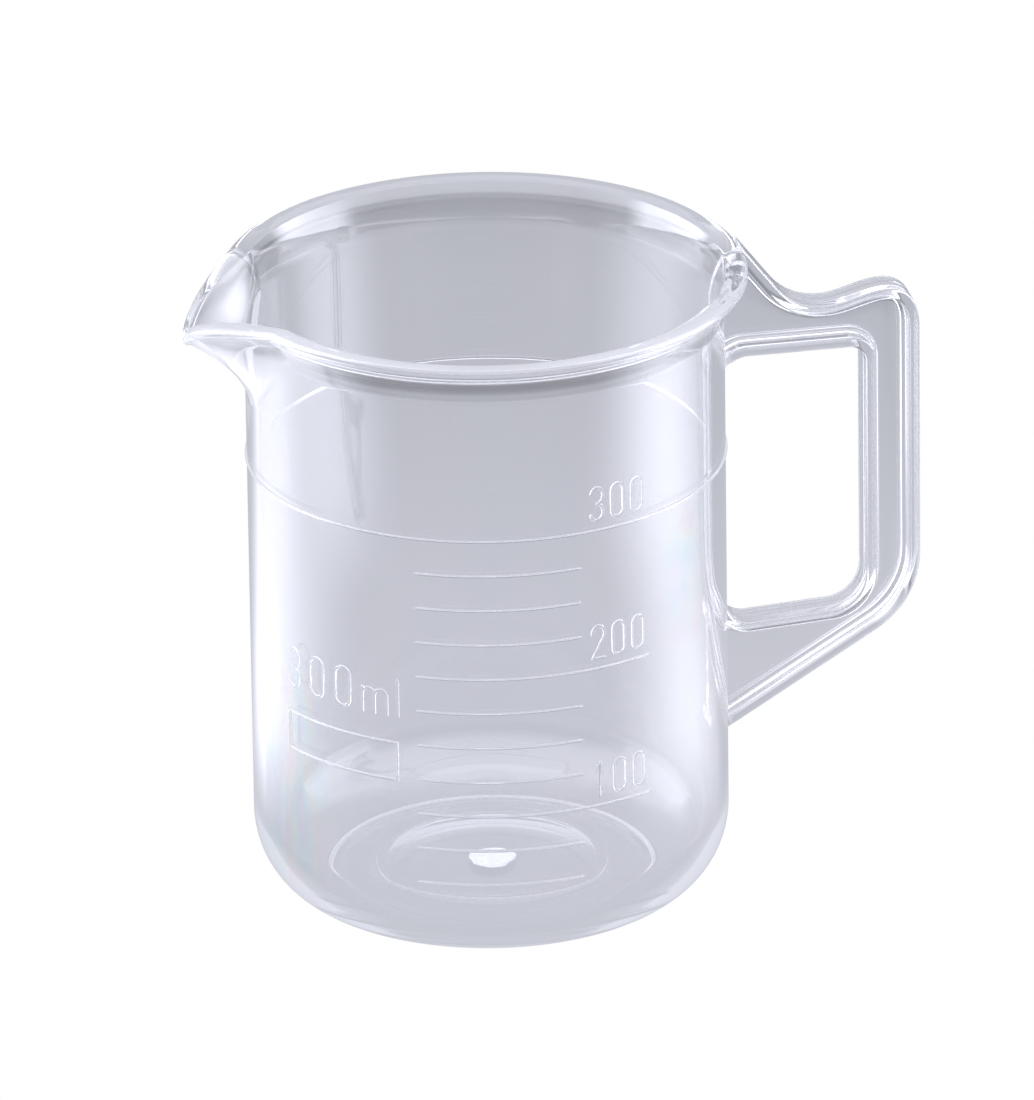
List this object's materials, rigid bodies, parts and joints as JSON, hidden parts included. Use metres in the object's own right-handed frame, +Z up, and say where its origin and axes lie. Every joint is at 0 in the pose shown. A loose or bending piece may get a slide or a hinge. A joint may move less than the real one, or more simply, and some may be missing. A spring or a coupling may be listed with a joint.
{
  "type": "handled beaker",
  "caption": "Clear plastic laboratory beaker with a flared rim, a pouring spout, an I-section handle and raised millilitre graduations.",
  "frame": {"origin": "the vessel's axis where it meets the plane that the foot ring stands on", "axes": "+Z up along the vessel's axis; +X towards the handle, -X towards the spout, -Y the graduated side"},
  "size_m": [0.1199, 0.0846, 0.106],
  "materials": {
    "clear_plastic": "gloss",
    "frosted_plastic": "matte"
  },
  "bodies": {
    "root": {"vessel": "clear_plastic", "handle": "clear_plastic", "floor_ring": "clear_plastic", "gate_mark": "frosted_plastic", "graduation_300": "clear_plastic", "graduation_275": "clear_plastic", "graduation_250": "clear_plastic", "graduation_225": "clear_plastic", "graduation_200": "clear_plastic", "graduation_175": "clear_plastic", "graduation_150": "clear_plastic", "graduation_125": "clear_plastic", "graduation_100": "clear_plastic", "graduation_075": "clear_plastic", "graduation_050": "clear_plastic", "figure_300_digit_1": "clear_plastic", "figure_300_digit_2": "clear_plastic", "figure_300_digit_3": "clear_plastic", "figure_200_digit_1": "clear_plastic", "figure_200_digit_2": "clear_plastic", "figure_200_digit_3": "clear_plastic", "figure_100_digit_1": "clear_plastic", "figure_100_digit_2": "clear_plastic", "figure_100_digit_3": "clear_plastic", "capacity_digit_1": "clear_plastic", "capacity_digit_2": "clear_plastic", "capacity_digit_3": "clear_plastic", "capacity_letter_m": "clear_plastic", "capacity_letter_l": "clear_plastic", "plain_frame": "clear_plastic"}
  },
  "joints": []
}
